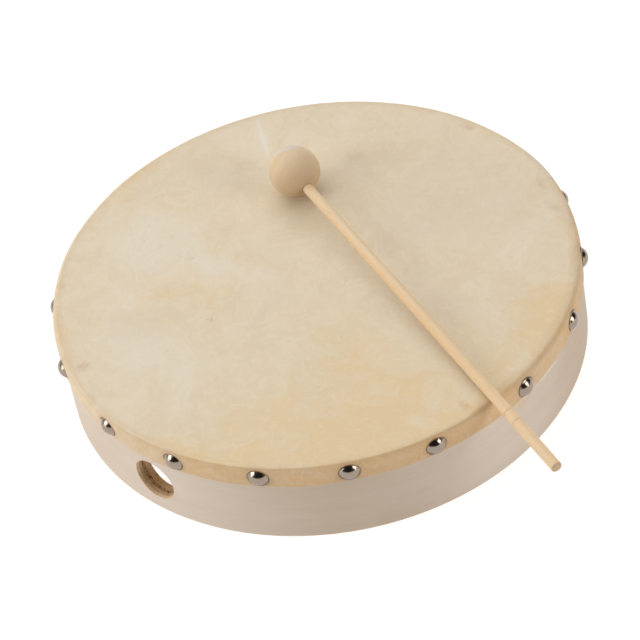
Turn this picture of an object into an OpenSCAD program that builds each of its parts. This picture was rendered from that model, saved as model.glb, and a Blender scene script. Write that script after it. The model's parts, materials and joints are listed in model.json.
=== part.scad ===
// Hand drum: a shallow bent-ply hoop with one rawhide head, tacked on, and a ball beater.
// Millimetres, +Z up. The origin is the centre of the hoop's base, and the thumb hole faces -Y.
// The beater lies across the head: its ball rests on the skin and its stick on the rim.

/* [Hoop] */
// Outside diameter of the wooden hoop
hoop_d = 254; // [200:1:360]
// Height of the hoop
hoop_h = 46; // [40:1:60]
// Thickness of the hoop's wall, all plies together
wall_t = 9; // [8:0.5:10]
// Radius of the hoop's top outer edge, under the skin
top_edge_r = 1.4; // [1:0.1:1.6]
// Radius of the hoop's other sanded edges
eased_edge_r = 0.8; // [0.4:0.1:1.2]
// Gap where the two ends of a ply meet
seam_gap = 0.3; // [0.2:0.1:1]

/* [Thumb hole] */
// Diameter of the thumb hole
thumb_hole_d = 22.4; // [18:0.2:24]
// Height of the thumb hole's centre above the base
thumb_hole_z = 19.1; // [16:0.1:20]

/* [Head] */
// Thickness of the skin
skin_t = 0.8; // [0.5:0.1:1.2]
// How far the skin reaches down the outside of the hoop
skirt_h = 11.9; // [10:0.1:13]

/* [Tacks] */
// Diameter of a tack's domed cap
cap_d = 9.8; // [8:0.2:10.6]
// How far a cap stands off the skin
cap_rise = 2.9; // [2:0.1:3.2]
// Thickness of a cap's pressed metal
cap_t = 0.5; // [0.3:0.1:0.8]
// Height of the row of tacks above the base
tack_z = 40; // [39:0.1:41]
// Diameter of a tack's nail
nail_d = 1.6; // [1.2:0.1:2]
// Length of a nail below its cap's rim
nail_len = 7.6; // [5:0.1:7.8]

/* [Beater] */
// Diameter of the beater's ball
ball_d = 25.4; // [22:0.1:30]
// Place of the ball on the head, left and right
ball_x = -45.1; // [-60:0.1:-20]
// Place of the ball on the head, front and back
ball_y = 43; // [0:0.1:60]
// Diameter of the stick
stick_d = 5.4; // [5:0.1:6]
// How far the stick's free end is from the centre of the ball
stick_reach = 236.7; // [220:0.1:250]
// Direction that the stick points in, in degrees from +X
stick_az = -21.6; // [-30:0.1:-14]
// How far below the centre of the ball the stick goes in
socket_drop = 2; // [0:0.1:3]
// How deep the stick goes into the ball, measured from the ball's surface
socket_depth = 15; // [8:0.5:18]
// Gap that keeps the beater clear of the drum that it lies on
rest_gap = 0.2; // [0.1:0.05:0.4]

/* [Hidden] */
$fn = 96;

// Hoop
hoop_r = hoop_d / 2;
ply_count = 5;
ply_t = wall_t / ply_count;
// Directions of the plies' butt seams, from the outer ply inwards, spread round the back
seam_az = [118, 64, 150, 92, 132];
cut = 1; // how far a cutting shape runs past the surface that it cuts

// Head
head_r = hoop_r + skin_t;
head_z = hoop_h + skin_t;
head_edge_r = top_edge_r + skin_t;
skirt_z = head_z - skirt_h;

// Tacks: each was set by hand, so each sits a little off its even place,
// [degrees round the hoop, millimetres up]
tack_start_az = -142;
tack_drift = [[-0.7, 0], [-1.1, 0], [0.5, 0.2], [-0.5, 0.3], [-1.3, 0.3], [-2.5, 0.3],
    [-4, 0], [0, -0.6], [1.5, -0.8], [0.5, 0], [0, 0.2], [1, 0],
    [-0.5, 0.3], [1, -0.2], [-1, 0], [0.5, 0.2], [0, -0.3], [-0.5, 0]];
tack_pitch = 360 / len(tack_drift);
cap_gap = 0.02; // keeps a flat cap's rim clear of the curved skin
nail_tip = 2.2;
nail_tip_r = 0.1;
nail_fit = 0.03; // room between a nail and its hole
// Radius of the sphere that a cap is a slice of
cap_sphere_r = (pow(cap_d / 2, 2) + pow(cap_rise, 2)) / (2 * cap_rise);

// Beater
ball_r = ball_d / 2;
stick_r = stick_d / 2;
ball_z = head_z + rest_gap + ball_r;
rim_r = head_r - head_edge_r; // where the flat of the head ends and its rounded edge begins
ball_along = ball_x * cos(stick_az) + ball_y * sin(stick_az);
ball_off2 = pow(ball_x, 2) + pow(ball_y, 2) - pow(ball_along, 2);
rim_reach = sqrt(pow(rim_r, 2) - ball_off2) - ball_along;
// The stick leans down from the ball until it lies on the rim
stick_dip = atan((ball_r - socket_drop - stick_r) / rim_reach);
socket_start = ball_r - socket_depth;
socket_fit = 0.02; // room between the stick and its socket
stick_chamfer = 0.5;
// Two scored rings near the free end
ring_from_end = [33, 40.2];
ring_r = 0.35;
ring_depth = 0.15;

// Outline of one quarter-round corner block: the part of a square outside its inscribed arc.
module corner_waste(r) {
    difference() {
        translate([-cut, -cut]) square(r + cut);
        translate([r, r]) circle(r);
    }
}

// Cross-section of the whole hoop wall, with its sanded edges.
module hoop_section() {
    difference() {
        translate([hoop_r - wall_t, 0]) square([wall_t, hoop_h]);
        translate([hoop_r, hoop_h]) rotate(180) corner_waste(top_edge_r);
        translate([hoop_r, 0]) rotate(90) corner_waste(eased_edge_r);
        translate([hoop_r - wall_t, 0]) corner_waste(eased_edge_r);
        translate([hoop_r - wall_t, hoop_h]) rotate(-90) corner_waste(eased_edge_r);
    }
}

// Puts its children at each tack's place, with +Z pointing straight out of the hoop.
module at_tacks() {
    for (i = [0 : len(tack_drift) - 1])
        rotate(tack_start_az + i * tack_pitch + tack_drift[i][0])
            translate([head_r + cap_gap, 0, tack_z + tack_drift[i][1]])
                rotate([0, 90, 0]) children();
}

// A nail's shank from its point up to the given height above the cap's rim.
module shank(top, grow = 0) {
    r = nail_d / 2 + grow;
    translate([0, 0, -nail_len]) cylinder(h = nail_tip, r1 = nail_tip_r + grow, r2 = r, $fn = 32);
    translate([0, 0, nail_tip - nail_len]) cylinder(h = nail_len - nail_tip + top, r = r, $fn = 32);
}

// One strip of veneer bent into a ring: layer 0 is the outermost.
module ply(layer) {
    outer_r = hoop_r - layer * ply_t;
    difference() {
        rotate_extrude() intersection() {
            hoop_section();
            translate([outer_r - ply_t, 0]) square([ply_t, hoop_h]);
        }
        translate([0, cut - hoop_r + wall_t, thumb_hole_z])
            rotate([90, 0, 0]) cylinder(h = wall_t + 2 * cut, d = thumb_hole_d);
        rotate(seam_az[layer])
            translate([outer_r - ply_t - cut, -seam_gap / 2, -cut])
                cube([ply_t + 2 * cut, seam_gap, hoop_h + 2 * cut]);
        if (outer_r > head_r - nail_len) at_tacks() shank(cut, nail_fit);
    }
}

// Rawhide stretched over the top edge and down the outside, with a hole for each nail.
module drum_head() {
    color("wheat") difference() {
        rotate_extrude() difference() {
            head_section(head_r, head_z, head_edge_r, skirt_z);
            head_section(hoop_r, hoop_h, top_edge_r, skirt_z - cut);
        }
        at_tacks() shank(cut, nail_fit);
    }
}

// Half cross-section of a disc-topped cap of radius r, from height low up to high.
module head_section(r, high, edge_r, low) {
    difference() {
        translate([0, low]) square([r, high - low]);
        translate([r, high]) rotate(180) corner_waste(edge_r);
    }
}

// Hollow pressed domes, one on each tack.
module tack_caps() {
    color("silver") at_tacks() difference() {
        intersection() {
            translate([0, 0, cap_rise - cap_sphere_r]) sphere(cap_sphere_r);
            translate([-cap_d, -cap_d, 0]) cube(2 * cap_d);
        }
        translate([0, 0, cap_rise - cap_sphere_r]) sphere(cap_sphere_r - cap_t);
    }
}

// Nails that pass through the skin into the hoop, each ending against its dome's inside.
module tack_nails() {
    color("slategray") at_tacks() intersection() {
        shank(cap_rise);
        union() {
            translate([0, 0, cap_rise - cap_sphere_r]) sphere(cap_sphere_r - cap_t);
            translate([-cap_d, -cap_d, -2 * nail_len]) cube([2 * cap_d, 2 * cap_d, 2 * nail_len]);
        }
    }
}

// Puts its children in the stick's own frame: the origin is on its axis, under the centre of
// the ball, and +Z points along the stick.
module in_stick_frame() {
    translate([ball_x, ball_y, ball_z - socket_drop])
        rotate(stick_az) rotate([0, 90 + stick_dip, 0]) children();
}

// Turned wooden ball with a blind socket for the stick, drilled a little low.
module beater_ball() {
    color("burlywood") difference() {
        translate([ball_x, ball_y, ball_z]) sphere(ball_r);
        in_stick_frame() translate([0, 0, socket_start])
            cylinder(h = ball_r + socket_depth, r = stick_r + socket_fit);
    }
}

// Round dowel, chamfered at both ends, with two rings scored near its free end.
module beater_stick() {
    start = socket_start + socket_fit;
    color("navajowhite") in_stick_frame() difference() {
        union() {
            translate([0, 0, start])
                cylinder(h = stick_chamfer, r1 = stick_r - stick_chamfer, r2 = stick_r);
            translate([0, 0, start + stick_chamfer])
                cylinder(h = stick_reach - start - 2 * stick_chamfer, r = stick_r);
            translate([0, 0, stick_reach - stick_chamfer])
                cylinder(h = stick_chamfer, r1 = stick_r, r2 = stick_r - stick_chamfer);
        }
        for (from_end = ring_from_end)
            translate([0, 0, stick_reach - from_end]) rotate_extrude()
                translate([stick_r + ring_r - ring_depth, 0]) circle(ring_r, $fn = 24);
    }
}

color("bisque") ply(0);  // outer_ply
color("tan") ply(1);  // second_ply
color("peachpuff") ply(2);  // middle_ply
color("tan") ply(3);  // fourth_ply
color("bisque") ply(4);  // inner_ply
drum_head();
tack_caps();
tack_nails();
beater_ball();
beater_stick();
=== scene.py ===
"""Looks for a hand drum: bent-ply hoop, rawhide head, nickel tacks and a ball beater."""

import json
import math
import random

import bpy
import numpy as np
from mathutils import Matrix, Vector, noise


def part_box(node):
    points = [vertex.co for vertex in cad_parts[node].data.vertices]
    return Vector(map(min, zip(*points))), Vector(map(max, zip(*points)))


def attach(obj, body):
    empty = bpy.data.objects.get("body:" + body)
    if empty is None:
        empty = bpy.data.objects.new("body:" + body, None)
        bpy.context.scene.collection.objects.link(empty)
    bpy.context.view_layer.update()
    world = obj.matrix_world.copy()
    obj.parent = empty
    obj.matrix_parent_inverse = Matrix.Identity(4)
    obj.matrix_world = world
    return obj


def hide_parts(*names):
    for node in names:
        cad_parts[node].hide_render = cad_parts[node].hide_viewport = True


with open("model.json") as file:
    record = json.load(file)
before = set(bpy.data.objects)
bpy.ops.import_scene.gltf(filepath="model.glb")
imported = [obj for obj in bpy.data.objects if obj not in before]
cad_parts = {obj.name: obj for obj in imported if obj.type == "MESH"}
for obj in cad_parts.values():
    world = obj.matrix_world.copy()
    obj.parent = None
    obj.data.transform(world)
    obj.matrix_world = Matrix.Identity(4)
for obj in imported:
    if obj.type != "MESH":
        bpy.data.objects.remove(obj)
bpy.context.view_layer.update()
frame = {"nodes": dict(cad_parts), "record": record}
random.seed(11)

MM = 0.001

# ---------------------------------------------------------------- sizes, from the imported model


def mount(name):
    return next(m for m in frame["record"]["mounts"] if m["name"] == name)


head_low, head_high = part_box("drum_head")
hoop_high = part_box("outer_ply")[1]
ball_low, ball_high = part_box("beater_ball")
thumb_hole = mount("thumb_hole")

HEAD_R = head_high.x
HEAD_Z = head_high.z
SKIRT_Z = head_low.z
HOOP_R = hoop_high.x
HOOP_H = hoop_high.z
HOLE_R = thumb_hole["dims"]["r_mm"] * MM
HOLE_Z = thumb_hole["pos_m"][2]
BALL_R = (ball_high.z - ball_low.z) / 2

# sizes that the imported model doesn't state, the same as in part.scad
PLY_T = 1.8 * MM
EASED_R = 0.8 * MM
TOP_EDGE_R = 1.4 * MM
SEAM_DEGREES = [118, 64, 150, 92, 132]
CAP_RISE = 2.9 * MM
CAP_SHEET = 0.5 * MM
CAP_GAP = 0.02 * MM
STICK_R = 2.7 * MM
STICK_CHAMFER = 0.5 * MM
SOCKET_DEPTH = 15 * MM
SOCKET_FIT = 0.02 * MM
RING_FROM_END = (40.2 * MM, 33.0 * MM)

# the plies' nodes and their slots, from the outside in
PLIES = ["outer_ply", "second_ply", "middle_ply", "fourth_ply", "inner_ply"]


def solid_centres(node):
    """The middle of each separate solid in a CAD node, worked out from its connected vertices."""
    mesh = frame["nodes"][node].data
    keys = [tuple(round(c * 1e6) for c in v.co) for v in mesh.vertices]
    index = {k: i for i, k in enumerate(dict.fromkeys(keys))}
    parent = list(range(len(index)))

    def root(i):
        while parent[i] != i:
            parent[i] = parent[parent[i]]
            i = parent[i]
        return i

    for e in mesh.edges:
        a, b = (root(index[keys[i]]) for i in e.vertices)
        parent[a] = b
    groups = {}
    for key, i in index.items():
        groups.setdefault(root(i), []).append(key)
    return [Vector((np.min(g, 0) + np.max(g, 0)) / 2e6) for g in map(np.array, groups.values())]


TACKS = sorted((math.atan2(c.y, c.x), c.z) for c in solid_centres("tack_caps"))
CAP_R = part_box("tack_caps")[1].z - max(z for _, z in TACKS)

# ---------------------------------------------------------------- camera, floor and lights

CAMERA_AZ = math.radians(46.4)
CAMERA_EL = math.radians(43.48)
CAMERA_ROLL = math.radians(-11.22)
CAMERA_DISTANCE = 1.539
LENS_MM = 176.8
SHIFT = (-0.0136, 0.0368)


def direction(azimuth, elevation):
    """A unit vector: azimuth 0 looks from -Y, 90 degrees from +X."""
    return Vector(
        (
            math.sin(azimuth) * math.cos(elevation),
            -math.cos(azimuth) * math.cos(elevation),
            math.sin(elevation),
        )
    )


def make_camera():
    camera = bpy.data.objects.new("camera", bpy.data.cameras.new("camera"))
    bpy.context.scene.collection.objects.link(camera)
    back = direction(CAMERA_AZ, CAMERA_EL)
    right = Vector((math.cos(CAMERA_AZ), math.sin(CAMERA_AZ), 0))
    up = back.cross(right)
    c, s = math.cos(CAMERA_ROLL), math.sin(CAMERA_ROLL)
    rolled_right, rolled_up = right * c + up * s, up * c - right * s
    turn = Matrix((rolled_right, rolled_up, back)).transposed()
    camera.matrix_world = Matrix.Translation(back * CAMERA_DISTANCE) @ turn.to_4x4()
    camera.data.lens = LENS_MM
    camera.data.sensor_width = 36
    camera.data.shift_x, camera.data.shift_y = SHIFT
    camera.data.clip_end = 50
    bpy.context.scene.camera = camera


def softbox(name, azimuth, elevation, distance, size, watts, colour):
    light = bpy.data.lights.new(name, "AREA")
    light.shape = "RECTANGLE"
    light.size, light.size_y = size
    light.energy = watts
    light.color = colour
    lamp = bpy.data.objects.new(name, light)
    bpy.context.scene.collection.objects.link(lamp)
    away = direction(math.radians(azimuth), math.radians(elevation))
    lamp.location = away * distance
    lamp.rotation_euler = away.to_track_quat("Z", "Y").to_euler()


SWEEP_AZ = CAMERA_AZ + math.radians(202)
ROOM_TONE = (0.030, 0.027, 0.025, 1)
SWEEP_TONE = (0.64, 0.63, 0.615, 1)


def make_world():
    """A dark room on the camera's side, and a pale sweep behind the drum."""
    world = bpy.data.worlds.new("studio")
    bpy.context.scene.world = world
    world.use_nodes = True
    tree = world.node_tree
    away = tree.nodes.new("ShaderNodeTexCoord").outputs["Generated"]

    def graded(vector, along, dark_at, light_at):
        dot = tree.nodes.new("ShaderNodeVectorMath")
        dot.operation = "DOT_PRODUCT"
        tree.links.new(vector, dot.inputs[0])
        dot.inputs[1].default_value = along
        span = tree.nodes.new("ShaderNodeMapRange")
        span.interpolation_type = "SMOOTHSTEP"
        tree.links.new(dot.outputs["Value"], span.inputs["Value"])
        span.inputs["From Min"].default_value = dark_at
        span.inputs["From Max"].default_value = light_at
        return span.outputs["Result"]

    behind = graded(away, direction(SWEEP_AZ, 0), -0.02, 0.25)
    low = graded(away, Vector((0, 0, 1)), 0.85, 0.55)
    sweep = tree.nodes.new("ShaderNodeMath")
    sweep.operation = "MULTIPLY"
    tree.links.new(behind, sweep.inputs[0])
    tree.links.new(low, sweep.inputs[1])
    tone = tree.nodes.new("ShaderNodeMix")
    tone.data_type = "RGBA"
    tree.links.new(sweep.outputs[0], tone.inputs[0])
    tone.inputs[6].default_value = ROOM_TONE
    tone.inputs[7].default_value = SWEEP_TONE
    background = tree.nodes["Background"]
    tree.links.new(tone.outputs[2], background.inputs["Color"])
    background.inputs["Strength"].default_value = 1.0


COOL = (0.98, 0.99, 1.0)
WARM = (1.0, 0.985, 0.96)
# each softbox: azimuth, elevation, distance, width and height, watts, colour
SOFTBOXES = {
    "left_softbox": (-29, 28, 1.6, (0.95, 0.8), 6.4, COOL),
    "left_core": (-29, 29, 1.55, (0.45, 0.42), 1.9, COOL),
    "left_glow": (-29, 9, 1.6, (0.5, 0.5), 2.1, COOL),
    "right_softbox": (104, 27, 1.6, (0.8, 0.75), 4.8, WARM),
    "right_core": (104, 28, 1.55, (0.4, 0.4), 1.6, WARM),
    "right_glow": (104, 9, 1.6, (0.5, 0.5), 2.3, WARM),
    "high_softbox": (250, 70, 1.7, (2.5, 2.5), 27.0, (1.0, 0.99, 0.975)),
}


def make_lights():
    """Softboxes low at both sides, each with a bright core and a glow under it, and one high up."""
    view = bpy.context.scene.view_settings
    view.view_transform = "Standard"
    view.look = "None"
    for name, settings in SOFTBOXES.items():
        softbox(name, *settings)


# ---------------------------------------------------------------- materials


class Shader:
    """One procedural material, built node by node around a Principled surface."""

    def __init__(self, name, roughness=0.5, metallic=0.0, specular=0.5):
        self.material = bpy.data.materials.new(name)
        self.material.use_nodes = True
        self.tree = self.material.node_tree
        self.surface = self.tree.nodes["Principled BSDF"]
        self.surface.inputs["Roughness"].default_value = roughness
        self.surface.inputs["Metallic"].default_value = metallic
        self.surface.inputs["Specular IOR Level"].default_value = specular

    def put(self, socket, value):
        if isinstance(value, bpy.types.NodeSocket):
            self.tree.links.new(value, socket)
        elif value is not None:
            socket.default_value = value

    def node(self, kind, inputs=(), **settings):
        made = self.tree.nodes.new("ShaderNode" + kind)
        for key, value in settings.items():
            setattr(made, key, value)
        for key, value in dict(inputs).items():
            self.put(made.inputs[key], value)
        return made

    def place(self):
        """Where the surface is, in the object's own frame, in metres."""
        return self.node("TexCoord").outputs["Object"]

    def attribute(self, name):
        return self.node("Attribute", attribute_name=name).outputs["Fac"]

    def maths(self, operation, a, b=None):
        made = self.node("Math", {0: a}, operation=operation)
        if b is not None:
            self.put(made.inputs[1], b)
        return made.outputs[0]

    def stretched(self, vector, scale):
        made = self.node("VectorMath", {0: vector, 1: scale}, operation="MULTIPLY")
        return made.outputs[0]

    def noise(self, vector, scale, detail=3.0, roughness=0.5):
        inputs = {"Vector": vector, "Scale": scale, "Detail": detail, "Roughness": roughness}
        return self.node("TexNoise", inputs).outputs["Fac"]

    def warped(self, vector, scale, amount):
        """The place, pushed about by noise, so that marks have ragged edges."""
        inputs = {"Vector": vector, "Scale": scale, "Detail": 3.0}
        push = self.node("TexNoise", inputs).outputs["Color"]
        centred = self.node("VectorMath", {0: push, 1: (0.5, 0.5, 0.5)}, operation="SUBTRACT")
        scaled = self.stretched(centred.outputs[0], (amount, amount, amount))
        return self.node("VectorMath", {0: vector, 1: scaled}, operation="ADD").outputs[0]

    def span(self, value, low, high, to_low=0.0, to_high=1.0, smooth=True):
        """value from low to high, carried over to to_low .. to_high and held there outside."""
        inputs = {"Value": value, "From Min": low, "From Max": high}
        inputs.update({"To Min": to_low, "To Max": to_high})
        kind = "SMOOTHSTEP" if smooth else "LINEAR"
        return self.node("MapRange", inputs, interpolation_type=kind).outputs["Result"]

    def spot(self, vector, centre, size, angle=0.0, core=0.15):
        """1 in the middle of an oval mark and 0 outside it. Sizes are half its lengths."""
        inputs = {"Vector": vector, "Location": centre, "Scale": size}
        inputs["Rotation"] = (0, 0, angle)
        oval = self.node("Mapping", inputs, vector_type="TEXTURE").outputs[0]
        far = self.node("VectorMath", {0: oval}, operation="LENGTH").outputs["Value"]
        return self.span(far, core, 1.0, 1.0, 0.0)

    def total(self, values):
        result = values[0]
        for value in values[1:]:
            result = self.maths("ADD", result, value)
        return result

    def mix(self, factor, a, b, blend="MIX"):
        made = self.node("Mix", data_type="RGBA", blend_type=blend, clamp_factor=True)
        for socket, value in zip((made.inputs[0], made.inputs[6], made.inputs[7]), (factor, a, b)):
            self.put(socket, value)
        return made.outputs[2]

    def colour(self, value):
        self.put(self.surface.inputs["Base Color"], value)

    def rough(self, value):
        self.put(self.surface.inputs["Roughness"], value)

    def gloss(self, square_on, edge_on):
        """Bare fibres lose their shine where the surface is seen edge on."""
        facing = self.node("LayerWeight", {"Blend": 0.5}).outputs["Facing"]
        shine = self.span(facing, 0.45, 0.85, square_on, edge_on)
        self.put(self.surface.inputs["Specular IOR Level"], shine)

    def relief(self, layers):
        """Bumps from layers, each a height from 0 to 1 with its depth in metres."""
        normal = None
        for height, depth in layers:
            inputs = {"Height": height, "Distance": depth, "Strength": 1.0}
            bump = self.node("Bump", inputs)
            if normal is not None:
                self.put(bump.inputs["Normal"], normal)
            normal = bump.outputs[0]
        self.put(self.surface.inputs["Normal"], normal)


def rgb(red, green, blue):
    return (red, green, blue, 1.0)


def floor_material():
    """White paper, lit to white, that can't be seen from below."""
    m = Shader("floor_paper", roughness=0.7, specular=0.2)
    tone = m.noise(m.place(), 3.0)
    m.colour(m.mix(tone, rgb(0.15, 0.149, 0.147), rgb(0.18, 0.178, 0.175)))
    m.surface.inputs["Emission Color"].default_value = rgb(1.0, 0.995, 0.985)
    m.surface.inputs["Emission Strength"].default_value = 0.92
    m.relief([(m.noise(m.place(), 900.0), 0.00003)])
    clear = m.node("BsdfTransparent").outputs[0]
    behind = m.node("NewGeometry").outputs["Backfacing"]
    shown = m.node("MixShader", {0: behind, 1: m.surface.outputs[0], 2: clear})
    m.put(m.tree.nodes["Material Output"].inputs["Surface"], shown.outputs[0])
    return m.material


def ring_place(m, around, up):
    """A place for grain that runs round the hoop: streaks are long round it and thin up it."""
    place = m.place()
    flat = m.stretched(place, (1, 1, 0))
    unit = m.node("VectorMath", {0: flat}, operation="NORMALIZE").outputs[0]
    turned = m.stretched(unit, (around, around, 0))
    height = m.stretched(place, (0, 0, up))
    return m.node("VectorMath", {0: turned, 1: height}, operation="ADD").outputs[0]


def hoop_spot(m, vector, azimuth, height, around, up, core=0.1):
    """An oval mark on the outside of the hoop, at an angle in degrees and a height."""
    turn = math.radians(azimuth)
    centre = (HOOP_R * math.cos(turn), HOOP_R * math.sin(turn), height)
    return m.spot(vector, centre, (max(0.01, around), around, up), turn, core)


def glue_marks(m, tone):
    """Hide glue that ran out from under the skirt beside one tack, and a dark speck."""
    ragged = m.warped(m.place(), 500.0, 0.006)
    smear = m.total([
        hoop_spot(m, ragged, -3.0, 0.0312, 0.0065, 0.0035),
        hoop_spot(m, ragged, -7.0, 0.0330, 0.0050, 0.0022),
    ])
    tone = m.mix(m.maths("MULTIPLY", smear, 0.75), tone, rgb(0.66, 0.47, 0.27))
    band = hoop_spot(m, ragged, 7.0, 0.0328, 0.016, 0.0016)
    tone = m.mix(m.maths("MULTIPLY", band, 0.4), tone, rgb(0.88, 0.80, 0.70))
    speck = hoop_spot(m, ragged, -0.7, 0.0322, 0.0012, 0.0018, 0.4)
    return m.mix(m.maths("MULTIPLY", speck, 0.8), tone, rgb(0.22, 0.17, 0.14))


# painted shade: darker stretches of the hoop's outside, at the front and the right: direction in
# degrees, and half length
PAINTED_SHADE_STRETCHES = ((-46, 0.062), (26, 0.060))


def veneer_material():
    """Pale bleached face veneer, its grain running round the hoop."""
    m = Shader("pale_veneer", roughness=0.45, specular=1.0)
    # the fibres run round the hoop, so its sheen spreads up and down
    m.surface.inputs["Anisotropic"].default_value = 0.85
    m.surface.inputs["Anisotropic Rotation"].default_value = 0.25
    round_hoop = m.node("Tangent", direction_type="RADIAL", axis="Z").outputs[0]
    m.put(m.surface.inputs["Tangent"], round_hoop)
    m.gloss(1.0, 0.2)
    bands = m.noise(ring_place(m, 1.6, 130.0), 1.0, 4.0, 0.55)
    fibres = m.noise(ring_place(m, 9.0, 1500.0), 1.0, 4.0, 0.65)
    clouds = m.noise(ring_place(m, 5.0, 40.0), 1.0, 3.0)
    tone = m.mix(m.span(bands, 0.3, 0.75), rgb(0.645, 0.525, 0.415), rgb(0.615, 0.49, 0.38))
    tone = m.mix(m.span(fibres, 0.45, 0.75, 0.0, 0.4), tone, rgb(0.57, 0.435, 0.325))
    tone = m.mix(m.span(clouds, 0.4, 0.75, 0.0, 0.3), tone, rgb(0.675, 0.57, 0.465))
    # painted shade on the stretches of the hoop that face the front and the right
    for azimuth, around in PAINTED_SHADE_STRETCHES:
        browner = hoop_spot(m, m.place(), azimuth, 0.02, around, 0.2)
        tone = m.mix(browner, tone, rgb(0.89, 0.86, 0.82), "MULTIPLY")
    m.colour(glue_marks(m, tone))
    m.rough(m.span(fibres, 0.3, 0.8, 0.42, 0.55, smooth=False))
    m.relief([(fibres, 0.00003), (bands, 0.00006)])
    return m.material


def edge_material(name, pale, dark, specks):
    """Sawn edge of a ply: brown, rough, and flecked with open pores and glue."""
    m = Shader(name, roughness=0.85, specular=0.15)
    place = m.place()
    flecks = m.noise(place, 1000.0, 3.0, 0.7)
    patches = m.noise(place, 300.0, 3.0)
    tone = m.mix(m.span(patches, 0.35, 0.7), pale, dark)
    speckled = m.span(flecks, 0.63 - 0.15 * specks, 0.72 - 0.1 * specks, 0.0, 0.85)
    tone = m.mix(speckled, tone, rgb(0.09, 0.05, 0.025))
    m.colour(tone)
    m.relief([(flecks, 0.00020), (patches, 0.00015)])
    return m.material


# patches of the hide: x, y, half lengths and turn, in millimetres and radians, and strength
AMBER_PATCHES = (
    (98, -70, 44, 72, -0.55, 1.0), (70, -44, 52, 34, -0.5, 0.5), (117, 30, 32, 50, 0.15, 1.05),
    (48, -86, 50, 42, 0.5, 0.6), (40, -28, 50, 26, -0.3, 0.4), (102, -8, 36, 12, -0.35, 0.6),
    (-44, -40, 30, 15, 0.1, 0.45), (-92, -88, 44, 12, -0.78, 0.7), (-126, 10, 10, 48, 0.0, 0.5),
    (34, -118, 50, 14, 0.25, 0.8), (122, -40, 16, 56, -0.3, 0.8), (16, 122, 40, 7, 0.0, 0.4),
    (90, 84, 40, 8, -0.8, 0.5), (82, -88, 26, 16, 0.7, 0.7), (112, -52, 14, 24, -0.2, 0.5),
)
COOL_PATCHES = (
    (-84, -22, 44, 40, 0.2, 0.9), (-34, -84, 50, 32, 0.0, 0.7), (-38, -20, 34, 18, 0.3, 0.8),
    (-88, 64, 34, 26, 0.6, 0.4), (10, 112, 60, 14, 0.0, 0.3), (70, 66, 26, 30, 0.0, 0.45),
    (104, -52, 10, 14, 0.0, 0.6), (-6, -100, 24, 22, 0.0, 0.4), (-70, -60, 22, 16, 0.2, 0.5),
)
GREY_PATCHES = (
    (-46, -70, 24, 22, 0.3, 0.8), (18, 54, 44, 30, -0.4, 0.5), (74, 14, 42, 11, -0.42, 0.6),
    (34, 84, 70, 44, -0.2, 0.6), (-12, -26, 12, 24, 0.5, 0.6), (-36, 80, 10, 24, 0.2, 0.6),
    (0, 96, 10, 24, 0.0, 0.4), (-66, -92, 34, 12, -0.5, 0.4), (107, 62, 34, 7, 2.09, 0.9),
    (80, 95, 34, 7, 2.44, 1.0), (42, 117, 34, 7, 2.79, 0.9), (-10, 122, 40, 6, 0.1, 0.8),
)
BROWN_MARKS = (
    (115, -34, 6, 3, -0.3, 0.4), (-57, -106, 6, 4.5, 1.0, 0.45), (0, 123, 5, 3, 0.0, 0.4),
    (-61, -22, 3, 2, 0.0, 0.25), (57, 107, 7, 3, -0.5, 0.3), (-24, -50, 2, 2, 0.0, 0.4),
    (74, 96, 6, 3, -0.6, 0.25), (-37, 78, 6, 10, 0.2, 0.15), (-104, -70, 5, 3, 0.9, 0.25),
)


def hide_spot(m, vector, x, y, long, wide, turn):
    """An oval mark on the top of the head, in millimetres and radians."""
    return m.spot(vector, (x * MM, y * MM, HEAD_Z), (long * MM, wide * MM, 0.2), turn)


def hide_patches(m, vector, rows):
    return m.total([m.maths("MULTIPLY", hide_spot(m, vector, *row[:-1]), row[-1]) for row in rows])


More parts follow.
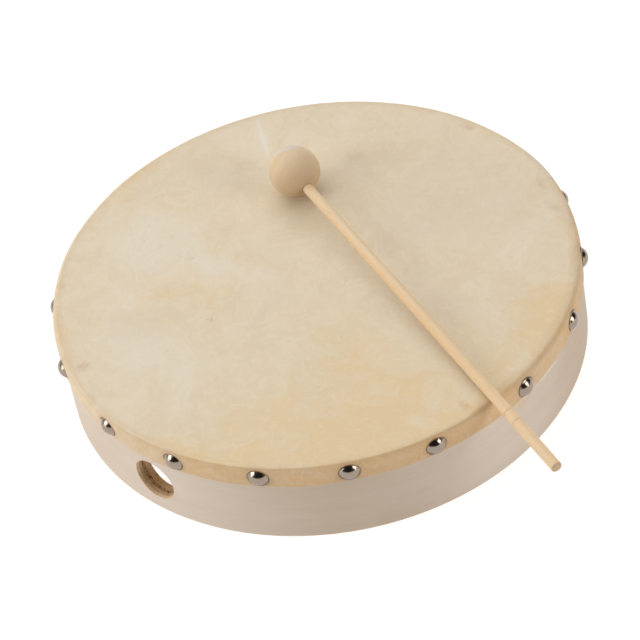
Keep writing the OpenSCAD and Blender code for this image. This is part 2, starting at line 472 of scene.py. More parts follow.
def rawhide_material():
    """Scraped hide: cream, clouded with warmer and greyer patches, with a few marks."""
    m = Shader("rawhide", roughness=0.58)
    m.gloss(0.3, 0.05)
    place = m.place()
    loose = m.warped(place, 26.0, 0.045)
    ragged = m.warped(m.warped(loose, 90.0, 0.018), 330.0, 0.006)
    amber = hide_patches(m, ragged, AMBER_PATCHES)
    cool = hide_patches(m, ragged, COOL_PATCHES)
    grey = hide_patches(m, ragged, GREY_PATCHES)
    clouds = m.noise(loose, 60.0, 5.0, 0.62)
    mottle = m.noise(ragged, 260.0, 5.0, 0.7)
    paper = m.noise(place, 1300.0, 4.0, 0.75)
    tone = m.mix(m.span(clouds, 0.32, 0.68), rgb(0.745, 0.645, 0.485), rgb(0.715, 0.60, 0.43))
    broken = m.span(m.noise(ragged, 75.0, 4.0, 0.6), 0.32, 0.66, 0.5, 1.3)
    amber = m.maths("MULTIPLY", amber, broken)
    tone = m.mix(m.span(amber, 0.0, 0.9, 0.0, 1.0, smooth=False), tone, rgb(0.735, 0.565, 0.345))
    tone = m.mix(m.span(grey, 0.0, 1.1, 0.0, 0.7), tone, rgb(0.675, 0.58, 0.445))
    tone = m.mix(m.span(cool, 0.0, 1.1, 0.0, 0.8), tone, rgb(0.77, 0.69, 0.56))
    tone = m.mix(m.span(mottle, 0.48, 0.74, 0.0, 0.4), tone, rgb(0.675, 0.535, 0.35))
    tone = m.mix(m.span(mottle, 0.50, 0.28, 0.0, 0.4), tone, rgb(0.79, 0.71, 0.58))
    tone = m.mix(m.span(paper, 0.5, 0.75, 0.0, 0.22), tone, rgb(0.60, 0.47, 0.30))
    # a pale scratch by the back left rim, and a few small brown marks
    fine = m.warped(place, 300.0, 0.003)
    scratch = m.spot(fine, (-0.087, 0.0655, HEAD_Z), (0.023, 0.0024, 0.2), -0.68, 0.1)
    tone = m.mix(m.maths("MULTIPLY", scratch, 0.5), tone, rgb(0.80, 0.76, 0.72))
    for *where, strength in BROWN_MARKS:
        mark = hide_spot(m, m.warped(place, 420.0, 0.006), *where)
        tone = m.mix(m.maths("MULTIPLY", mark, strength), tone, rgb(0.56, 0.35, 0.18))
    # painted shade along the turn of the rim, the side browner with painted shade at the front and
    # the right, and browner round every tack with a painted contact shadow at each cap's edge
    edge_noise = m.span(m.noise(ragged, 120.0, 4.0, 0.6), 0.3, 0.7, 0.25, 1.0)
    # painted shade along the turn of the rim, broken up by noise
    tone = m.mix(m.maths("MULTIPLY", m.attribute("rim"), edge_noise), tone, rgb(0.66, 0.485, 0.30))
    # the skirt's browner hide, with painted shade at the front and the right
    side = m.maths("MULTIPLY", m.attribute("side"), m.span(mottle, 0.3, 0.7, 0.75, 1.0))
    tone = m.mix(side, tone, rgb(0.88, 0.745, 0.62), "MULTIPLY")
    near = m.attribute("tack_distance")
    tone = m.mix(m.span(near, 5.0, 8.5, 0.3, 0.0), tone, rgb(0.52, 0.34, 0.18))
    # a painted contact shadow in a thin ring just outside each cap's edge
    tone = m.mix(m.span(near, 5.0, 5.7, 0.9, 0.0), tone, rgb(0.22, 0.115, 0.05))
    m.colour(tone)
    m.rough(m.span(paper, 0.3, 0.7, 0.52, 0.68, smooth=False))
    m.relief([(mottle, 0.00016), (paper, 0.00005)])
    return m.material


def nickel_material():
    """Polished plate with a faint haze."""
    m = Shader("nickel_plate", roughness=0.1, metallic=1.0)
    haze = m.noise(m.place(), 900.0, 4.0, 0.6)
    m.colour(m.mix(haze, rgb(0.315, 0.255, 0.205), rgb(0.37, 0.305, 0.25)))
    m.rough(m.span(haze, 0.3, 0.75, 0.12, 0.24, smooth=False))
    m.relief([(m.noise(m.place(), 2500.0, 3.0), 0.000004)])
    return m.material


def steel_material():
    """Drawn wire."""
    m = Shader("nail_steel", roughness=0.35, metallic=1.0)
    drawn = m.noise(m.stretched(m.place(), (1, 1, 0.1)), 4000.0, 3.0)
    m.colour(m.mix(drawn, rgb(0.33, 0.32, 0.31), rgb(0.48, 0.47, 0.45)))
    return m.material


# where the ball's wood is greyer and carries a painted sheen of the light from behind and above, as
# a direction from its middle
BALL_GREY_SHEEN_SIDE = Vector((-0.54, 0.43, 0.72)).normalized()


def ball_material(place_of_ball, centre):
    """Turned wood: faint rings round the stick's axis, painted shade on the side toward the stick,
    and a greyer side with a painted sheen.
    """
    m = Shader("turned_wood", roughness=0.5, specular=0.3)
    place = m.place()
    bent = m.warped(place, 90.0, 0.003)
    along = m.node("SeparateXYZ", {0: bent}).outputs[2]
    lines = m.noise(m.stretched(bent, (16, 16, 700)), 1.0, 3.0, 0.6)
    bands = m.noise(m.stretched(bent, (24, 24, 190)), 1.0, 3.0, 0.5)
    clouds = m.noise(place, 110.0, 4.0, 0.6)
    flecks = m.noise(m.stretched(place, (900, 900, 300)), 1.0, 3.0, 0.6)
    tone = m.mix(m.span(bands, 0.3, 0.75), rgb(0.715, 0.55, 0.355), rgb(0.675, 0.495, 0.305))
    tone = m.mix(m.span(lines, 0.45, 0.8, 0.0, 0.35), tone, rgb(0.58, 0.41, 0.24))
    tone = m.mix(m.span(clouds, 0.45, 0.7, 0.0, 0.35), tone, rgb(0.66, 0.545, 0.39))
    tone = m.mix(m.span(flecks, 0.58, 0.8, 0.0, 0.4), tone, rgb(0.50, 0.40, 0.33))
    # painted shade: darker on the side toward the stick
    tone = m.mix(m.span(along, 0.001, 0.011, 0.0, 0.6), tone, rgb(0.64, 0.45, 0.275))
    rosy = m.span(along, -0.0035, -0.0085, 0.0, 0.45)
    tone = m.mix(rosy, tone, rgb(0.74, 0.54, 0.31))
    # the greyer side, with a painted sheen of the light from behind and above
    grey_sheen_side = place_of_ball.to_3x3().inverted() @ BALL_GREY_SHEEN_SIDE
    across = m.node("VectorMath", {0: bent, 1: grey_sheen_side}, operation="DOT_PRODUCT")
    toward = across.outputs["Value"]
    start = grey_sheen_side.dot(centre) + 0.0092
    tone = m.mix(m.span(toward, start, start + 0.0016, 0.0, 0.8), tone, rgb(0.645, 0.555, 0.53))
    m.colour(tone)
    m.relief([(lines, 0.00003), (flecks, 0.00003)])
    return m.material


def stick_material():
    """Dowel: straight fibres along the stick, browner in its scored rings and on its end."""
    m = Shader("dowel_wood", roughness=0.48, specular=0.35)
    place = m.place()
    streaks = m.noise(m.stretched(place, (420, 420, 9)), 1.0, 3.0, 0.55)
    fibres = m.noise(m.stretched(place, (1900, 1900, 40)), 1.0, 4.0, 0.6)
    pores = m.noise(m.stretched(place, (2600, 2600, 120)), 1.0, 2.0, 0.5)
    tone = m.mix(m.span(streaks, 0.40, 0.62), rgb(0.79, 0.55, 0.315), rgb(0.76, 0.585, 0.375))
    tone = m.mix(m.span(fibres, 0.5, 0.8, 0.0, 0.35), tone, rgb(0.66, 0.43, 0.22))
    tone = m.mix(m.span(pores, 0.66, 0.8, 0.0, 0.7), tone, rgb(0.40, 0.25, 0.13))
    tone = m.mix(m.maths("MULTIPLY", m.attribute("scored"), 0.55), tone, rgb(0.50, 0.33, 0.17))
    end_grain = m.mix(pores, rgb(0.66, 0.47, 0.28), rgb(0.50, 0.34, 0.19))
    tone = m.mix(m.attribute("end_grain"), tone, end_grain)
    m.colour(tone)
    m.relief([(fibres, 0.00003), (pores, 0.00004)])
    return m.material


# ---------------------------------------------------------------- meshes


def make_piece(name, points, faces, materials, body, replaces, attributes=(), place=None):
    """A mesh object riding on a body. faces is a list of (corner numbers, material number)."""
    mesh = bpy.data.meshes.new(name)
    mesh.from_pydata([tuple(p) for p in points], [], [f for f, _ in faces])
    for material in materials:
        mesh.materials.append(material)
    mesh.polygons.foreach_set("material_index", [k for _, k in faces])
    for key, values in dict(attributes).items():
        mesh.attributes.new(key, "FLOAT", "POINT").data.foreach_set("value", values)
    mesh.shade_smooth()
    mesh.set_sharp_from_angle(angle=math.radians(38))
    mesh.validate()
    mesh.update()
    piece = bpy.data.objects.new(name, mesh)
    bpy.context.scene.collection.objects.link(piece)
    if place is not None:
        piece.matrix_world = place
    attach(piece, body)
    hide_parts(replaces)
    return piece


def revolve(profile, segments):
    """Points and faces of a (radius, height) profile turned about Z. Radius 0 is one point."""
    points, rings, faces = [], [], []
    for radius, height in profile:
        if radius == 0:
            rings.append([len(points)] * segments)
            points.append((0.0, 0.0, height))
            continue
        start = len(points)
        for i in range(segments):
            a = 2 * math.pi * i / segments
            points.append((radius * math.cos(a), radius * math.sin(a), height))
        rings.append(list(range(start, start + segments)))
    for low, high in zip(rings, rings[1:]):
        for i in range(segments):
            j = (i + 1) % segments
            corners = list(dict.fromkeys((low[i], low[j], high[j], high[i])))
            faces.append((corners, 0))
    return points, faces


def arc(centre, radius, start, end, steps):
    """Points on an arc, in degrees, ends included."""
    angles = [math.radians(start + (end - start) * k / steps) for k in range(steps + 1)]
    return [(centre[0] + radius * math.cos(a), centre[1] + radius * math.sin(a)) for a in angles]


def wrapped(angle):
    """The same direction, as an angle from -pi to pi."""
    return math.atan2(math.sin(angle), math.cos(angle))


def wave(x, y, z, seed):
    """Smooth noise from about -1 to 1."""
    return noise.noise(Vector((x + 17.3 * seed, y - 9.1 * seed, z + 5.7 * seed)))


def circle_wave(angle, lumps, seed, z=0.0):
    """Noise that closes on itself round the hoop, with about that many lumps a turn."""
    k = lumps / 6.3
    return wave(k * math.cos(angle), k * math.sin(angle), z, seed)


# ---------------------------------------------------------------- rawhide head


def tack_distance(angle, height):
    """Millimetres over the skin to the nearest tack, TACK_REACH at most."""
    nearest = TACK_REACH
    for at, z in TACKS:
        turn = wrapped(angle - at)
        if abs(turn) < 0.2:
            nearest = min(nearest, math.hypot(turn * HEAD_R, height - z) / MM)
    return nearest


def fade(value, low, high):
    """0 at low, 1 at high, smooth between."""
    t = max(0.0, min(1.0, (value - low) / (high - low)))
    return t * t * (3 - 2 * t)


# direction in which the stick crosses the rim
STICK_CROSSING = math.radians(-10.7)
# radius of the skin's fold over the rim where it is tight, and how much wider its loosest bend is
EDGE_R = 1.15 * MM
LOOSE_EDGE = 2.3 * MM
# inside this radius, the top of the skin doesn't change with the bend of its rim
FLAT_R = 0.1
SKIRT_ROWS = 15
HEAD_COLUMNS = 900
# the bead that the wet skin dried into just under the rim: heights where it starts and is full
BEAD_START = 38.5 * MM
BEAD_FULL = 44 * MM
# the swell just inside the rim: radii where it starts and is full
SWELL_START = 121.5 * MM
SWELL_FULL = 126.5 * MM
# from this far away, a tack doesn't pull on the skin, in millimetres
TACK_REACH = 20.0


def loose_rim(a):
    """How loosely the skin turns over the rim at an angle: 0 is a tight fold and 1 a wide bend."""
    at = math.degrees(a)
    right = fade(at, -20, -13) * (1 - fade(at, 45, 70))
    left = fade(at, -160, -140) * (1 - fade(at, -125, -105))
    return right + 0.5 * left


def side_shade(a):
    """How much browner the skirt is than the top: a little all round, and more at the front and the
    right, which is painted shade.
    """
    at = math.degrees(a)
    return 0.3 + 0.7 * fade(at, -135, -75) * (1 - fade(at, 40, 120))


def head_profile():
    """The skin's outline from its underside round to the top's middle, with each point's part."""
    top = [0, 4, 10, 18, 27, 36, 45, 54, 63, 72, 81, 89, 96, 102, 107, 111, 114, 116.5, 118.5]
    top += [120.3, 121.9, 123.2, 124.4, 125.4, 126.1]
    turn = arc((HEAD_R - EDGE_R, HEAD_Z - EDGE_R), EDGE_R, 90, 0, 8)
    side_top = HEAD_Z - EDGE_R
    drop = (SKIRT_Z - side_top) / SKIRT_ROWS
    side = [(HEAD_R, side_top + drop * k) for k in range(1, SKIRT_ROWS)]
    trim = [(HEAD_R - 0.05 * MM, SKIRT_Z), (HEAD_R - 0.35 * MM, SKIRT_Z - 0.05 * MM)]
    low_inside = SKIRT_Z + 0.05 * MM
    bend_z = HOOP_H - TOP_EDGE_R
    inside = [(HOOP_R + 0.03 * MM, low_inside + (bend_z - low_inside) * k / 6) for k in range(6)]
    inside += arc((HOOP_R - TOP_EDGE_R, bend_z), TOP_EDGE_R + 0.02 * MM, 0, 90, 5)
    inside += [(r * MM, HOOP_H) for r in (118, 100, 75, 50, 25, 0)]
    parts = {
        "top": [(r * MM, HEAD_Z) for r in top],
        "turn": turn,
        "side": side + trim,
        "inside": inside,
    }
    return [(part, point) for part, line in parts.items() for point in line][::-1]


def sagged(a, r):
    """How far the top of the skin lies below its rim: two sizes of shallow waves."""
    sag = 1 - (r / HEAD_R) ** 4
    x, y = r * math.cos(a), r * math.sin(a)
    wide = 0.14 * MM * sag * (0.5 + 0.5 * wave(x * 25, y * 25, 0, 6))
    fine = 0.05 * MM * sag * (0.5 + 0.5 * wave(x * 90, y * 90, 0, 7))
    return wide + fine


def swollen_rim(a, r, loose):
    """How far the skin stands up along its rim, which it doesn't do under the stick."""
    off = abs(wrapped(a - STICK_CROSSING))
    swell = fade(r, SWELL_START, SWELL_FULL) * (0.10 + 0.16 * circle_wave(a, 30, 8))
    return MM * swell * fade(off, 0.06, 0.14) * (1 - 0.6 * loose)


def skirt_bulge(a, z, drop, from_tack, loose):
    """How far the skirt stands off the hoop: a bead at the rim, slack between tacks, puckers."""
    bead = 0.55 * fade(z, BEAD_START, BEAD_FULL)
    bead += 0.25 * circle_wave(a, 26, 9) * fade(z, 41 * MM, 45 * MM)
    slack = 0.30 * (0.5 + 0.5 * circle_wave(a, 46, 2, z * 60)) * drop
    tight = 1 - fade(from_tack, 11.0, 4.5)
    pucker = 0.12 * wave(a * 60, z * 350, 0, 3) * fade(from_tack, 10, 6) * drop
    return MM * max(0.0, bead * (1 - loose) + slack * tight + pucker)


def head_point(part, a, r, z):
    """Where a point of the plain skin really lies, and its rim, side and tack distance values."""
    loose = loose_rim(a)
    edge = EDGE_R + LOOSE_EDGE * loose
    plain_r, real_r = HEAD_R - EDGE_R, HEAD_R - edge
    rim_shade = 0.45 + 0.35 * loose
    rim = side = 0.0
    from_tack = TACK_REACH
    if part == "top":
        if r > FLAT_R:
            r = FLAT_R + (r - FLAT_R) * (real_r - FLAT_R) / (plain_r - FLAT_R)
        rim = rim_shade * fade(r, real_r - 3.5 * MM, real_r)
        z -= sagged(a, r)
    if part == "turn":
        r = real_r + (r - plain_r) * edge / EDGE_R
        z = HEAD_Z - edge + (z - HEAD_Z + EDGE_R) * edge / EDGE_R
    if part in ("top", "turn"):
        z += swollen_rim(a, r, loose)
    if part == "side":
        z = SKIRT_Z + (z - SKIRT_Z) * (HEAD_Z - edge - SKIRT_Z) / (HEAD_Z - EDGE_R - SKIRT_Z)
    if part in ("turn", "side"):
        from_tack = tack_distance(a, z)
        drop = max(0.0, min(1.0, (HEAD_Z - edge - z) / (HEAD_Z - edge - SKIRT_Z)))
        turned = (r - real_r) / edge
        side = side_shade(a) * fade(z, HEAD_Z - 0.02 * edge, HEAD_Z - 0.25 * edge)
        rim = rim_shade * (1 - turned)
        r += turned * skirt_bulge(a, z, drop, from_tack, loose)
        z += (0.42 * circle_wave(a, 36, 4) + 0.24 * circle_wave(a, 110, 5)) * MM * drop ** 2
    return (r * math.cos(a), r * math.sin(a), z), rim, side, from_tack


def make_head(material):
    """A closed skin: the stretched top, the turn over the rim, the tacked skirt and its inside."""
    profile = head_profile()
    plain, faces = revolve([point for _, point in profile], HEAD_COLUMNS)
    made, count = [], 0
    for part, (radius, _) in profile:
        for _ in range(1 if radius == 0 else HEAD_COLUMNS):
            x, y, z = plain[count]
            made.append(head_point(part, math.atan2(y, x), math.hypot(x, y), z))
            count += 1
    points, rim, side, distance = zip(*made)
    head = make_piece(
        "rawhide_head", points, faces, [material], "drum", "drum_head",
        {"rim": rim, "side": side, "tack_distance": distance},
    )


# ---------------------------------------------------------------- bent plies

SEAM_HALF_GAP = 0.15 * MM
COLUMN_STEP = math.radians(0.9)
# the square patch round the thumb hole, where the mesh runs in rings instead of columns
PATCH_HALF = math.radians(8.6)
PATCH_COLUMNS = 24
PATCH_ROWS = 22
PATCH_RINGS = 6
PATCH_TOP = HOLE_Z + HOLE_R + 7.5 * MM
HOLE_AZ = 1.5 * math.pi
HOLE_EASED_R = 0.5 * MM
# how far the core plies are sunk at the base
CORE_RECESS = 0.06 * MM
# how much wider the hole is in the second and fourth plies
BORE_STEP = 0.05 * MM
# material numbers
WALL, EDGE = 0, 1


class BentPly:
    """A strip bent into a ring, with its butt seam, and the thumb hole cut through it.

    Its cross-section is a loop of points, repeated in columns round the ring. The patch round
    the thumb hole is left out of the columns' faces and filled with rings of its own.
    """

    def __init__(self, layer):
        self.layer = layer
        self.first = layer == 0
        self.last = layer == len(PLIES) - 1
        self.out_r = HOOP_R - layer * PLY_T
        self.in_r = self.out_r - PLY_T
        self.faces = []
        columns = self.ring_columns()
        loop = self.section()
        self.size = len(loop)
        self.points = [self.surface_point(r, a, z) for a in columns for r, z in loop]
        self.join_columns(len(columns))
        self.cut_hole()

    def ring_columns(self):
        """The directions of the columns, from one side of the seam round to the other."""
        seam = math.radians(SEAM_DEGREES[self.layer])
        gap = SEAM_HALF_GAP / self.out_r
        start, end = seam + gap, seam + 2 * math.pi - gap
        left, right = HOLE_AZ - PATCH_HALF, HOLE_AZ + PATCH_HALF
        before = max(2, round((left - start) / COLUMN_STEP))
        after = max(2, round((end - right) / COLUMN_STEP))
        self.patch_from = before
        columns = [start + (left - start) * k / before for k in range(before)]
        columns += [left + (right - left) * k / PATCH_COLUMNS for k in range(PATCH_COLUMNS)]
        columns += [right + (end - right) * k / after for k in range(after + 1)]
        return columns

    def section(self):
        """The cross-section: up the outside, over the top, down the inside and along the base."""
        out_r, in_r = self.out_r, self.in_r
        top_round = TOP_EDGE_R if self.first else EASED_R
        rows = [EASED_R + (PATCH_TOP - EASED_R) * k / PATCH_ROWS for k in range(PATCH_ROWS + 1)]
        rows += [PATCH_TOP + (HOOP_H - top_round - PATCH_TOP) * k / 3 for k in (1, 2, 3)]
        outer = [(out_r, z) for z in rows]
        inner = [(in_r, z) for z in reversed(rows)]
        top = [(out_r, HOOP_H), (in_r, HOOP_H)]
        low = [(in_r, CORE_RECESS), (out_r, CORE_RECESS)]
        if self.first:
            top = arc((out_r - TOP_EDGE_R, HOOP_H - TOP_EDGE_R), TOP_EDGE_R, 0, 90, 5)[1:]
            top += [(in_r, HOOP_H)]
            low = [(in_r, 0.0)] + arc((out_r - EASED_R, EASED_R), EASED_R, -90, 0, 4)[:-1]
        if self.last:
            top = [(out_r, HOOP_H)]
            top += arc((in_r + EASED_R, HOOP_H - EASED_R), EASED_R, 90, 180, 4)[:-1]
            low = arc((in_r + EASED_R, EASED_R), EASED_R, 180, 270, 4)[1:] + [(out_r, 0.0)]
        self.outer_end = len(outer) - 1
        self.inner_from = len(outer) + len(top)
        self.inner_end = self.inner_from + len(inner) - 1
        return outer + top + inner + low

    def surface_point(self, radius, angle, z):
        """A point of the ring. The two faces that show aren't quite even."""
        if self.first and radius > self.out_r - 0.01 * MM:
            radius -= 0.05 * MM * (1 + circle_wave(angle, 9, 11, z * 30))
        if self.last and radius < self.in_r + 0.01 * MM:
            radius += 0.05 * MM * (1 + circle_wave(angle, 9, 12, z * 30))
        return (radius * math.cos(angle), radius * math.sin(angle), z)

    def is_wall(self, k):
        return k < self.outer_end or self.inner_from <= k < self.inner_end

    def in_patch(self, column, k):
        if not self.patch_from <= column < self.patch_from + PATCH_COLUMNS:
            return False
        return k < PATCH_ROWS or self.inner_end - PATCH_ROWS <= k < self.inner_end

    def join_columns(self, count):
        """The faces between one column and the next, and one over each end of the strip."""
        size = self.size
        for column in range(count - 1):
            for k in range(size):
                if self.in_patch(column, k):
                    continue
                j = (k + 1) % size
                a, b = column * size, (column + 1) * size
                material = WALL if self.is_wall(k) else EDGE
                self.faces.append(([a + k, b + k, b + j, a + j], material))
        self.faces.append((list(range(size)), EDGE))
        self.faces.append((list(reversed(range((count - 1) * size, count * size))), EDGE))

    def outer_index(self, column, row):
        return (self.patch_from + column) * self.size + row

    def inner_index(self, column, row):
        return (self.patch_from + column) * self.size + self.inner_end - row

    def border(self, index):
        """The patch's edge, anticlockwise as seen from outside."""
        line = [index(c, 0) for c in range(PATCH_COLUMNS)]
        line += [index(PATCH_COLUMNS, r) for r in range(PATCH_ROWS)]
        line += [index(c, PATCH_ROWS) for c in range(PATCH_COLUMNS, 0, -1)]
        line += [index(0, r) for r in range(PATCH_ROWS, 0, -1)]
        return line

    def bearing(self, index):
        """The direction of a point from the middle of the thumb hole, on the unrolled wall."""
        x, y, z = self.points[index]
        return math.atan2(z - HOLE_Z, wrapped(math.atan2(y, x) - HOLE_AZ) * self.out_r)

    def hole_ring(self, radius, bore):
        """Points round the hole, where the bore crosses the cylinder of that radius."""
        ring = []
        for t in self.turns:
            uneven = wave(math.cos(t) * 3, math.sin(t) * 3, radius * 900, 13 + self.layer)
            ragged = bore + 0.03 * MM * uneven
            across, z = ragged * math.cos(t), HOLE_Z + ragged * math.sin(t)
            ring.append((radius, HOLE_AZ + math.asin(across / radius), z))
        return ring

    def join(self, one, two, flip, material):
        count = len(one)
        for i in range(count):
            j = (i + 1) % count
            corners = [one[i], one[j], two[j], two[i]]
            self.faces.append((corners[::-1] if flip else corners, material))

    def fan(self, border_line, mouth, radius, flip):
        """Rings of quads from the patch's edge to the mouth of the hole."""
        previous = border_line
        for step in range(1, PATCH_RINGS + 1):
            share = (step / PATCH_RINGS) ** 0.8
            ring = []
            for index, (mouth_r, mouth_a, mouth_z) in zip(border_line, mouth):
                x, y, z = self.points[index]
                angle = math.atan2(y, x) % (2 * math.pi)
                a = angle + (mouth_a - angle) * share
                height = z + (mouth_z - z) * share
                ring.append(len(self.points))
                at = mouth_r if step == PATCH_RINGS else radius
                self.points.append(self.surface_point(at, a, height))
            self.join(previous, ring, flip, WALL)
            previous = ring
        return previous

    def add_ring(self, previous, radius, bore):
        """One more ring down the wall of the hole."""
        start = len(self.points)
        for r, a, z in self.hole_ring(radius, bore):
            self.points.append((r * math.cos(a), r * math.sin(a), z))
        ring = list(range(start, len(self.points)))
        self.join(previous, ring, False, EDGE)
        return ring

    def cut_hole(self):
        """The patch outside, the hole's wall, eased at the drum's faces, and the patch inside."""
        outer_border, inner_border = self.border(self.outer_index), self.border(self.inner_index)
        self.turns = [self.bearing(i) for i in outer_border]
        bore = HOLE_R + (BORE_STEP if self.layer in (1, 3) else 0.0)
        out_round = HOLE_EASED_R if self.first else 0.0
        in_round = HOLE_EASED_R if self.last else 0.0
        outer_mouth = self.hole_ring(self.out_r, bore + out_round)
        inner_mouth = self.hole_ring(self.in_r, bore + in_round)
        ring = self.fan(outer_border, outer_mouth, self.out_r, False)
        eased = [math.radians(18 * k) for k in (1, 2, 3, 4, 5)]
        if self.first:
            for t in eased:
                depth, opening = out_round * (1 - math.cos(t)), out_round * (1 - math.sin(t))
                ring = self.add_ring(ring, self.out_r - depth, bore + opening)
        low_r, high_r = self.in_r + in_round, self.out_r - out_round
        for k in (1, 2, 3) if self.last else (1, 2):
            ring = self.add_ring(ring, high_r + (low_r - high_r) * k / 3, bore)
        if self.last:
            for t in reversed(eased[:-1]):
                depth, opening = in_round * (1 - math.cos(t)), in_round * (1 - math.sin(t))
                ring = self.add_ring(ring, self.in_r + depth, bore + opening)
        inner_end = self.fan(inner_border, inner_mouth, self.in_r, True)
        self.join(ring, inner_end, False, EDGE)


def make_ply(layer, wall, edge):
    name = PLIES[layer]
    ply = BentPly(layer)
    make_piece(name + "_bent", ply.points, ply.faces, [wall, edge], "drum", name)


# ---------------------------------------------------------------- tacks


# width of the lip that joins the dome to its rim
CAP_LIP = 0.45 * MM
# how far a cap leans either way, in degrees
TACK_LEAN = 1.3


def circle_points(radius, centre_z, degrees):
    """Points (radius, height) on a circle about the axis, at each angle above its middle."""
    angles = [math.radians(t) for t in degrees]
    return [(radius * math.cos(a), centre_z + radius * math.sin(a)) for a in angles]


def cap_profile():
    """A pressed dome from its inside's middle, round its short upright lip, to its top."""
    sphere_r = (CAP_R ** 2 + CAP_RISE ** 2) / (2 * CAP_RISE)
    centre = CAP_RISE - sphere_r
    inner_r = sphere_r - CAP_SHEET
    join_deg = math.degrees(math.acos((CAP_R - CAP_LIP) / (sphere_r - CAP_LIP * 0.6)))
    floor_deg = math.degrees(math.asin(-centre / inner_r))
    dome = circle_points(sphere_r, centre, np.linspace(join_deg, 90, 16))
    inside = circle_points(inner_r, centre, np.linspace(90, floor_deg, 8))
    dome[-1] = (0, CAP_RISE)
    inside[0] = (0, CAP_RISE - CAP_SHEET)
    lip = [(CAP_R, 0.0), (CAP_R, 0.14 * MM), (CAP_R - 0.04 * MM, 0.26 * MM)]
    return inside + lip + dome


def make_tacks(material):
    """The caps, each leaning a little."""
    points, faces = revolve(cap_profile(), 72)
    for number, (at, z) in enumerate(TACKS, 1):
        out = Matrix.Rotation(at, 4, "Z") @ Matrix.Translation((HEAD_R + CAP_GAP, 0, z))
        out = out @ Matrix.Rotation(math.pi / 2, 4, "Y")
        for axis in "XY":
            lean = math.radians(random.uniform(-TACK_LEAN, TACK_LEAN))
            out = out @ Matrix.Rotation(lean, 4, axis)
        make_piece(
            f"tack_cap_{number:02d}", points, faces, [material], "drum", "tack_caps",
            place=out,
        )


# ---------------------------------------------------------------- beater


SOCKET_START = BALL_R - SOCKET_DEPTH
MOUTH_R = STICK_R + 0.05 * MM
MOUTH_CHAMFER = 0.2 * MM
STICK_BOW = 0.35 * MM
# a scored ring's outline: millimetres along the stick from its middle, and deep
SCORE = ((-0.45, 0), (-0.28, 0.06), (-0.12, 0.15), (0.12, 0.15), (0.28, 0.06), (0.45, 0))


def beater_place():
    """The stick's own frame, how far the stick reaches in it, and the ball's middle in it.

    +Z runs along the stick, and the origin is on its axis, beside the ball's middle.
    """
    middle = (ball_low + ball_high) / 2
    corners = [v.co for v in frame["nodes"]["beater_stick"].data.vertices]
    end = max(corners, key=lambda p: (p - middle).length)
    rough = (end - middle).normalized()
    reaches = [(p - middle).dot(rough) for p in corners]

    def end_middle(reach):
        ring = [p for p, r in zip(corners, reaches) if abs(r - reach) < 0.3 * MM]
        return Vector((np.min(ring, 0) + np.max(ring, 0)) / 2)

    root, tip = end_middle(min(reaches)), end_middle(max(reaches))
    along = (tip - root).normalized()
    origin = root + along * (middle - root).dot(along)
    turn = along.to_track_quat("Z", "Y").to_matrix().to_4x4()
    place = Matrix.Translation(origin) @ turn
    return place, (tip - origin).length, place.inverted() @ middle


def make_ball(finish, place, centre):
    """A turned ball with a blind socket, which is drilled a little off its middle."""
    mouth_deg = math.degrees(math.acos((MOUTH_R + MOUTH_CHAMFER) / BALL_R))
    mouth_z = BALL_R * math.sin(math.radians(mouth_deg)) - 1.3 * MM
    wall = [(0, SOCKET_START), (MOUTH_R, SOCKET_START), (MOUTH_R, BALL_R * 0.5), (MOUTH_R, mouth_z)]
    shell = circle_points(BALL_R, 0.0, np.linspace(mouth_deg, -90, 64))
    shell[-1] = (0, -BALL_R)
    points, faces = revolve(list(reversed(wall + shell)), 112)
    shaped = []
    for x, y, z in points:
        if math.hypot(x, y, z) > BALL_R * 0.97:
            # rings near the mouth go round the socket, and the others round the ball
            off = fade(z, 0.3 * BALL_R, 0.85 * BALL_R)
            p = Vector((x - centre.x * off, y - centre.y * off, z))
            if z > 0:
                p.z = math.sqrt(BALL_R ** 2 - p.x ** 2 - p.y ** 2)
            p *= 1 - 0.0035 * (1 + wave(x * 70, y * 70, z * 70, 21))
            x, y, z = p + centre
        shaped.append((x, y, z))
    make_piece(
        "wooden_ball", shaped, faces, [finish], "beater", "beater_ball", place=place,
    )


def stick_profile(reach, rings):
    """The stick's outline from its end in the socket to its rounded free end."""
    start = SOCKET_START + SOCKET_FIT
    body = [(0, start), (STICK_R - STICK_CHAMFER, start), (STICK_R, start + STICK_CHAMFER)]
    body += [(STICK_R, h) for h in np.linspace(start + 4 * MM, reach - 44 * MM, 80)]
    for h in rings:
        body.append((STICK_R, h - 1.2 * MM))
        body += [(STICK_R - depth * MM, h + step * MM) for step, depth in SCORE]
        body.append((STICK_R, h + 1.2 * MM))
    body += [(STICK_R, h) for h in np.linspace(reach - 30 * MM, reach - 1.6 * MM, 12)]
    body += arc((STICK_R - 0.9 * MM, reach - 0.9 * MM), 0.9 * MM, 0, 80, 5)
    return body + [(STICK_R * 0.5, reach - 0.01 * MM), (STICK_R * 0.25, reach), (0, reach)]


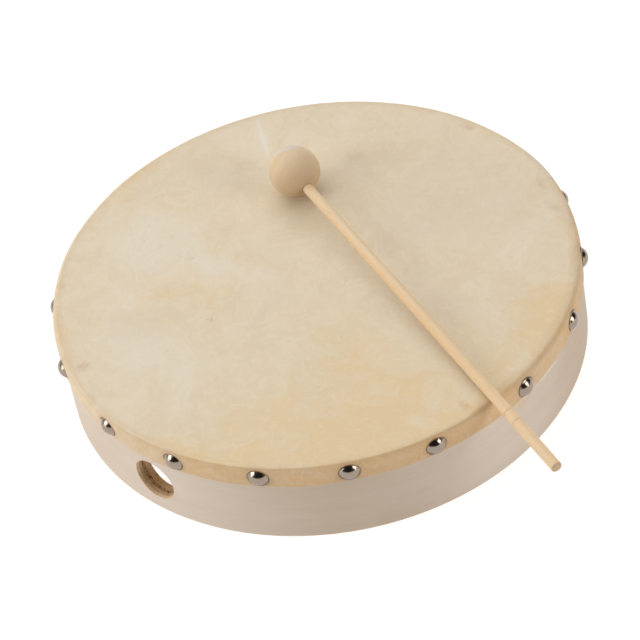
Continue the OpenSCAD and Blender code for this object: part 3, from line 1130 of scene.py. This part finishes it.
def make_stick(finish, place, reach):
    """A dowel, very slightly bowed and uneven, with two scored rings."""
    rings = [reach - d for d in RING_FROM_END]
    points, faces = revolve(stick_profile(reach, rings), 48)
    shaped, scored, end_grain = [], [], []
    for x, y, z in points:
        a, r = math.atan2(y, x), math.hypot(x, y)
        if r > 0.5 * STICK_R:
            r *= 1 - 0.006 * (1 + wave(math.cos(a) * 1.2, math.sin(a) * 1.2, z * 30, 31))
        bow = STICK_BOW * math.sin(math.pi * max(0.0, z) / reach)
        scored.append(max((1.0 if abs(z - h) < 0.2 * MM else 0.0) for h in rings))
        end_grain.append(fade(z, reach - 0.9 * MM, reach - 0.3 * MM))
        shaped.append((r * math.cos(a) + bow, r * math.sin(a), z))
    make_piece(
        "dowel_stick", shaped, faces, [finish], "beater", "beater_stick",
        {"scored": scored, "end_grain": end_grain}, place,
    )


def make_beater():
    place, reach, centre = beater_place()
    make_ball(ball_material(place, centre), place, centre)
    make_stick(stick_material(), place, reach)


# ---------------------------------------------------------------- the whole scene


def make_floor():
    """A flat sheet, a hair under the drum."""
    bpy.ops.mesh.primitive_plane_add(size=12)
    floor = bpy.context.object
    floor.name = "floor"
    floor.location.z = -0.02 * MM
    floor.data.materials.append(floor_material())


def make_plies():
    """Pale faces, and sawn edges that are darkest in the middle ply."""
    face = veneer_material()
    outer_edge = edge_material("outer_ply_edge", rgb(0.72, 0.55, 0.38), rgb(0.64, 0.47, 0.30), 0.1)
    core_edge = edge_material("core_ply_edge", rgb(0.56, 0.39, 0.23), rgb(0.46, 0.305, 0.17), 0.35)
    middle_edge = edge_material(
        "middle_ply_edge", rgb(0.43, 0.28, 0.155), rgb(0.32, 0.20, 0.105), 1.0,
    )
    for layer, edge in enumerate([outer_edge, core_edge, middle_edge, core_edge, core_edge]):
        make_ply(layer, face, edge)


def finish_nails():
    """The nails keep their CAD solids, which the caps hide."""
    nails = frame["nodes"]["tack_nails"]
    nails.data.materials.clear()
    nails.data.materials.append(steel_material())


make_camera()
make_world()
make_lights()
make_floor()
make_plies()
make_head(rawhide_material())
make_tacks(nickel_material())
finish_nails()
make_beater()
